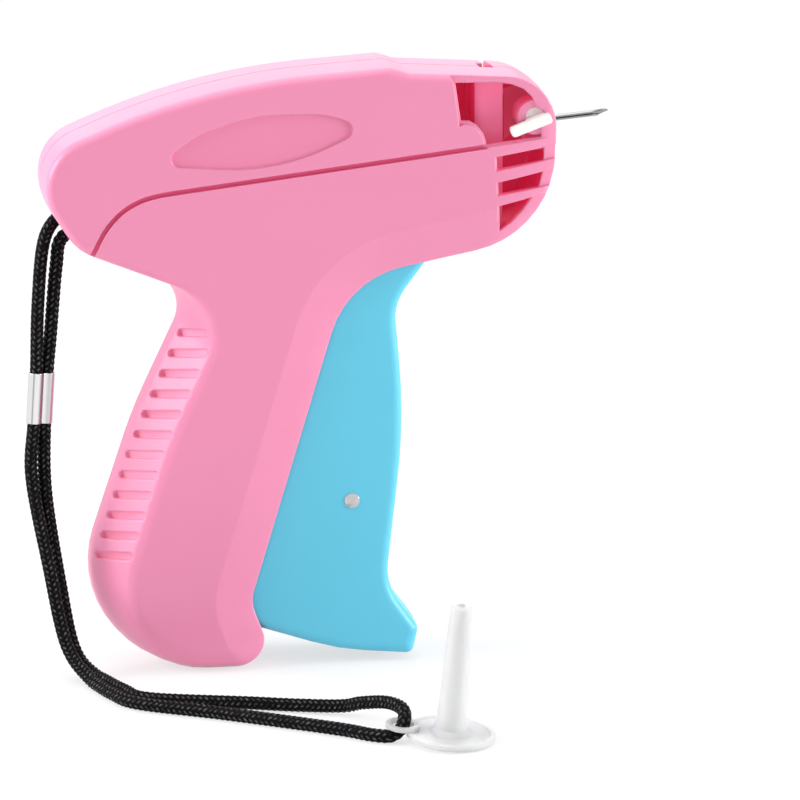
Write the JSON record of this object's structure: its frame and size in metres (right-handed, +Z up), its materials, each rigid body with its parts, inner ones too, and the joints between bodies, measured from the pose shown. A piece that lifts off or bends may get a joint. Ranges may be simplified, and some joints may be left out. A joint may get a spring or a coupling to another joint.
{
  "type": "fabric tagging tool",
  "caption": "Hand-held fabric tagging tool with a pistol grip, long squeeze trigger, slotted needle, swing-lever and slide drive, feed wheel, wrist strap and tethered needle cap.",
  "frame": {"origin": "middle of the box around the tool without its strap, on the plane that the handle stands on", "axes": "+X towards the muzzle and needle, +Y towards the left half (the lock lever is on -Y), +Z up along the handle"},
  "size_m": [0.1467, 0.1021, 0.1514],
  "materials": {
    "pink_plastic": "satin moulded plastic",
    "blue_plastic": "satin moulded plastic",
    "white_plastic": "plain moulded plastic",
    "clear_plastic": "milky translucent moulded plastic",
    "steel": "drawn or ground steel",
    "sleeve_metal": "pressed, lightly brushed",
    "black_cord": "braided cord"
  },
  "bodies": {
    "housing": {"right_housing": "pink_plastic", "left_housing": "pink_plastic", "housing_screws": "steel", "trigger_pivot_pin": "steel", "lever_pivot_pin": "steel", "return_spring": "steel", "feed_axle": "steel", "detent_spring": "steel", "knife_blade": "steel", "needle": "steel", "needle_base": "white_plastic", "strap_pin": "steel", "wrist_strap": "black_cord", "strap_ferrule": "sleeve_metal", "needle_cap": "clear_plastic"},
    "trigger": {"trigger": "blue_plastic", "link_pin": "steel"},
    "lever": {"swing_lever": "white_plastic"},
    "slide": {"slide": "white_plastic", "slide_pin": "steel", "push_rod": "steel", "feed_pawl": "steel"},
    "wheel": {"feed_wheel": "white_plastic"},
    "lock": {"needle_lock": "white_plastic"}
  },
  "joints": [
    {"name": "trigger_pull", "type": "hinge", "parent": "housing", "child": "trigger", "pos_m": [0.0146, 0, 0.105], "axis": [0, 1, 0], "range_deg": [0, 14], "stiffness_Nm_per_rad": 3, "springref_deg": -5.73},
    {"name": "lever_swing", "type": "hinge", "parent": "housing", "child": "lever", "pos_m": [-0.0024, 0, 0.072], "axis": [0, 1, 0], "range_deg": [0, 30.33], "deforming": ["return_spring"]},
    {"name": "slide_travel", "type": "slide", "parent": "housing", "child": "slide", "axis": [0.9957, 0, 0.0924], "range_m": [0, 0.03129]},
    {"name": "wheel_step", "type": "hinge", "parent": "housing", "child": "wheel", "pos_m": [0.032, 0.0057, 0.122], "axis": [0, 1, 0], "range_deg": [0, 15.01]},
    {"name": "lock_turn", "type": "hinge", "parent": "housing", "child": "lock", "pos_m": [0.05035, -0.008, 0.13783], "axis": [0, 1, 0], "range_deg": [0, 170]}
  ],
  "couplings": [
    {"joint": "lever_swing", "follows": "trigger_pull", "ratio": 2.1654},
    {"joint": "slide_travel", "follows": "trigger_pull", "m_per_rad": 0.128},
    {"joint": "wheel_step", "follows": "trigger_pull", "ratio": 1.0714}
  ]
}
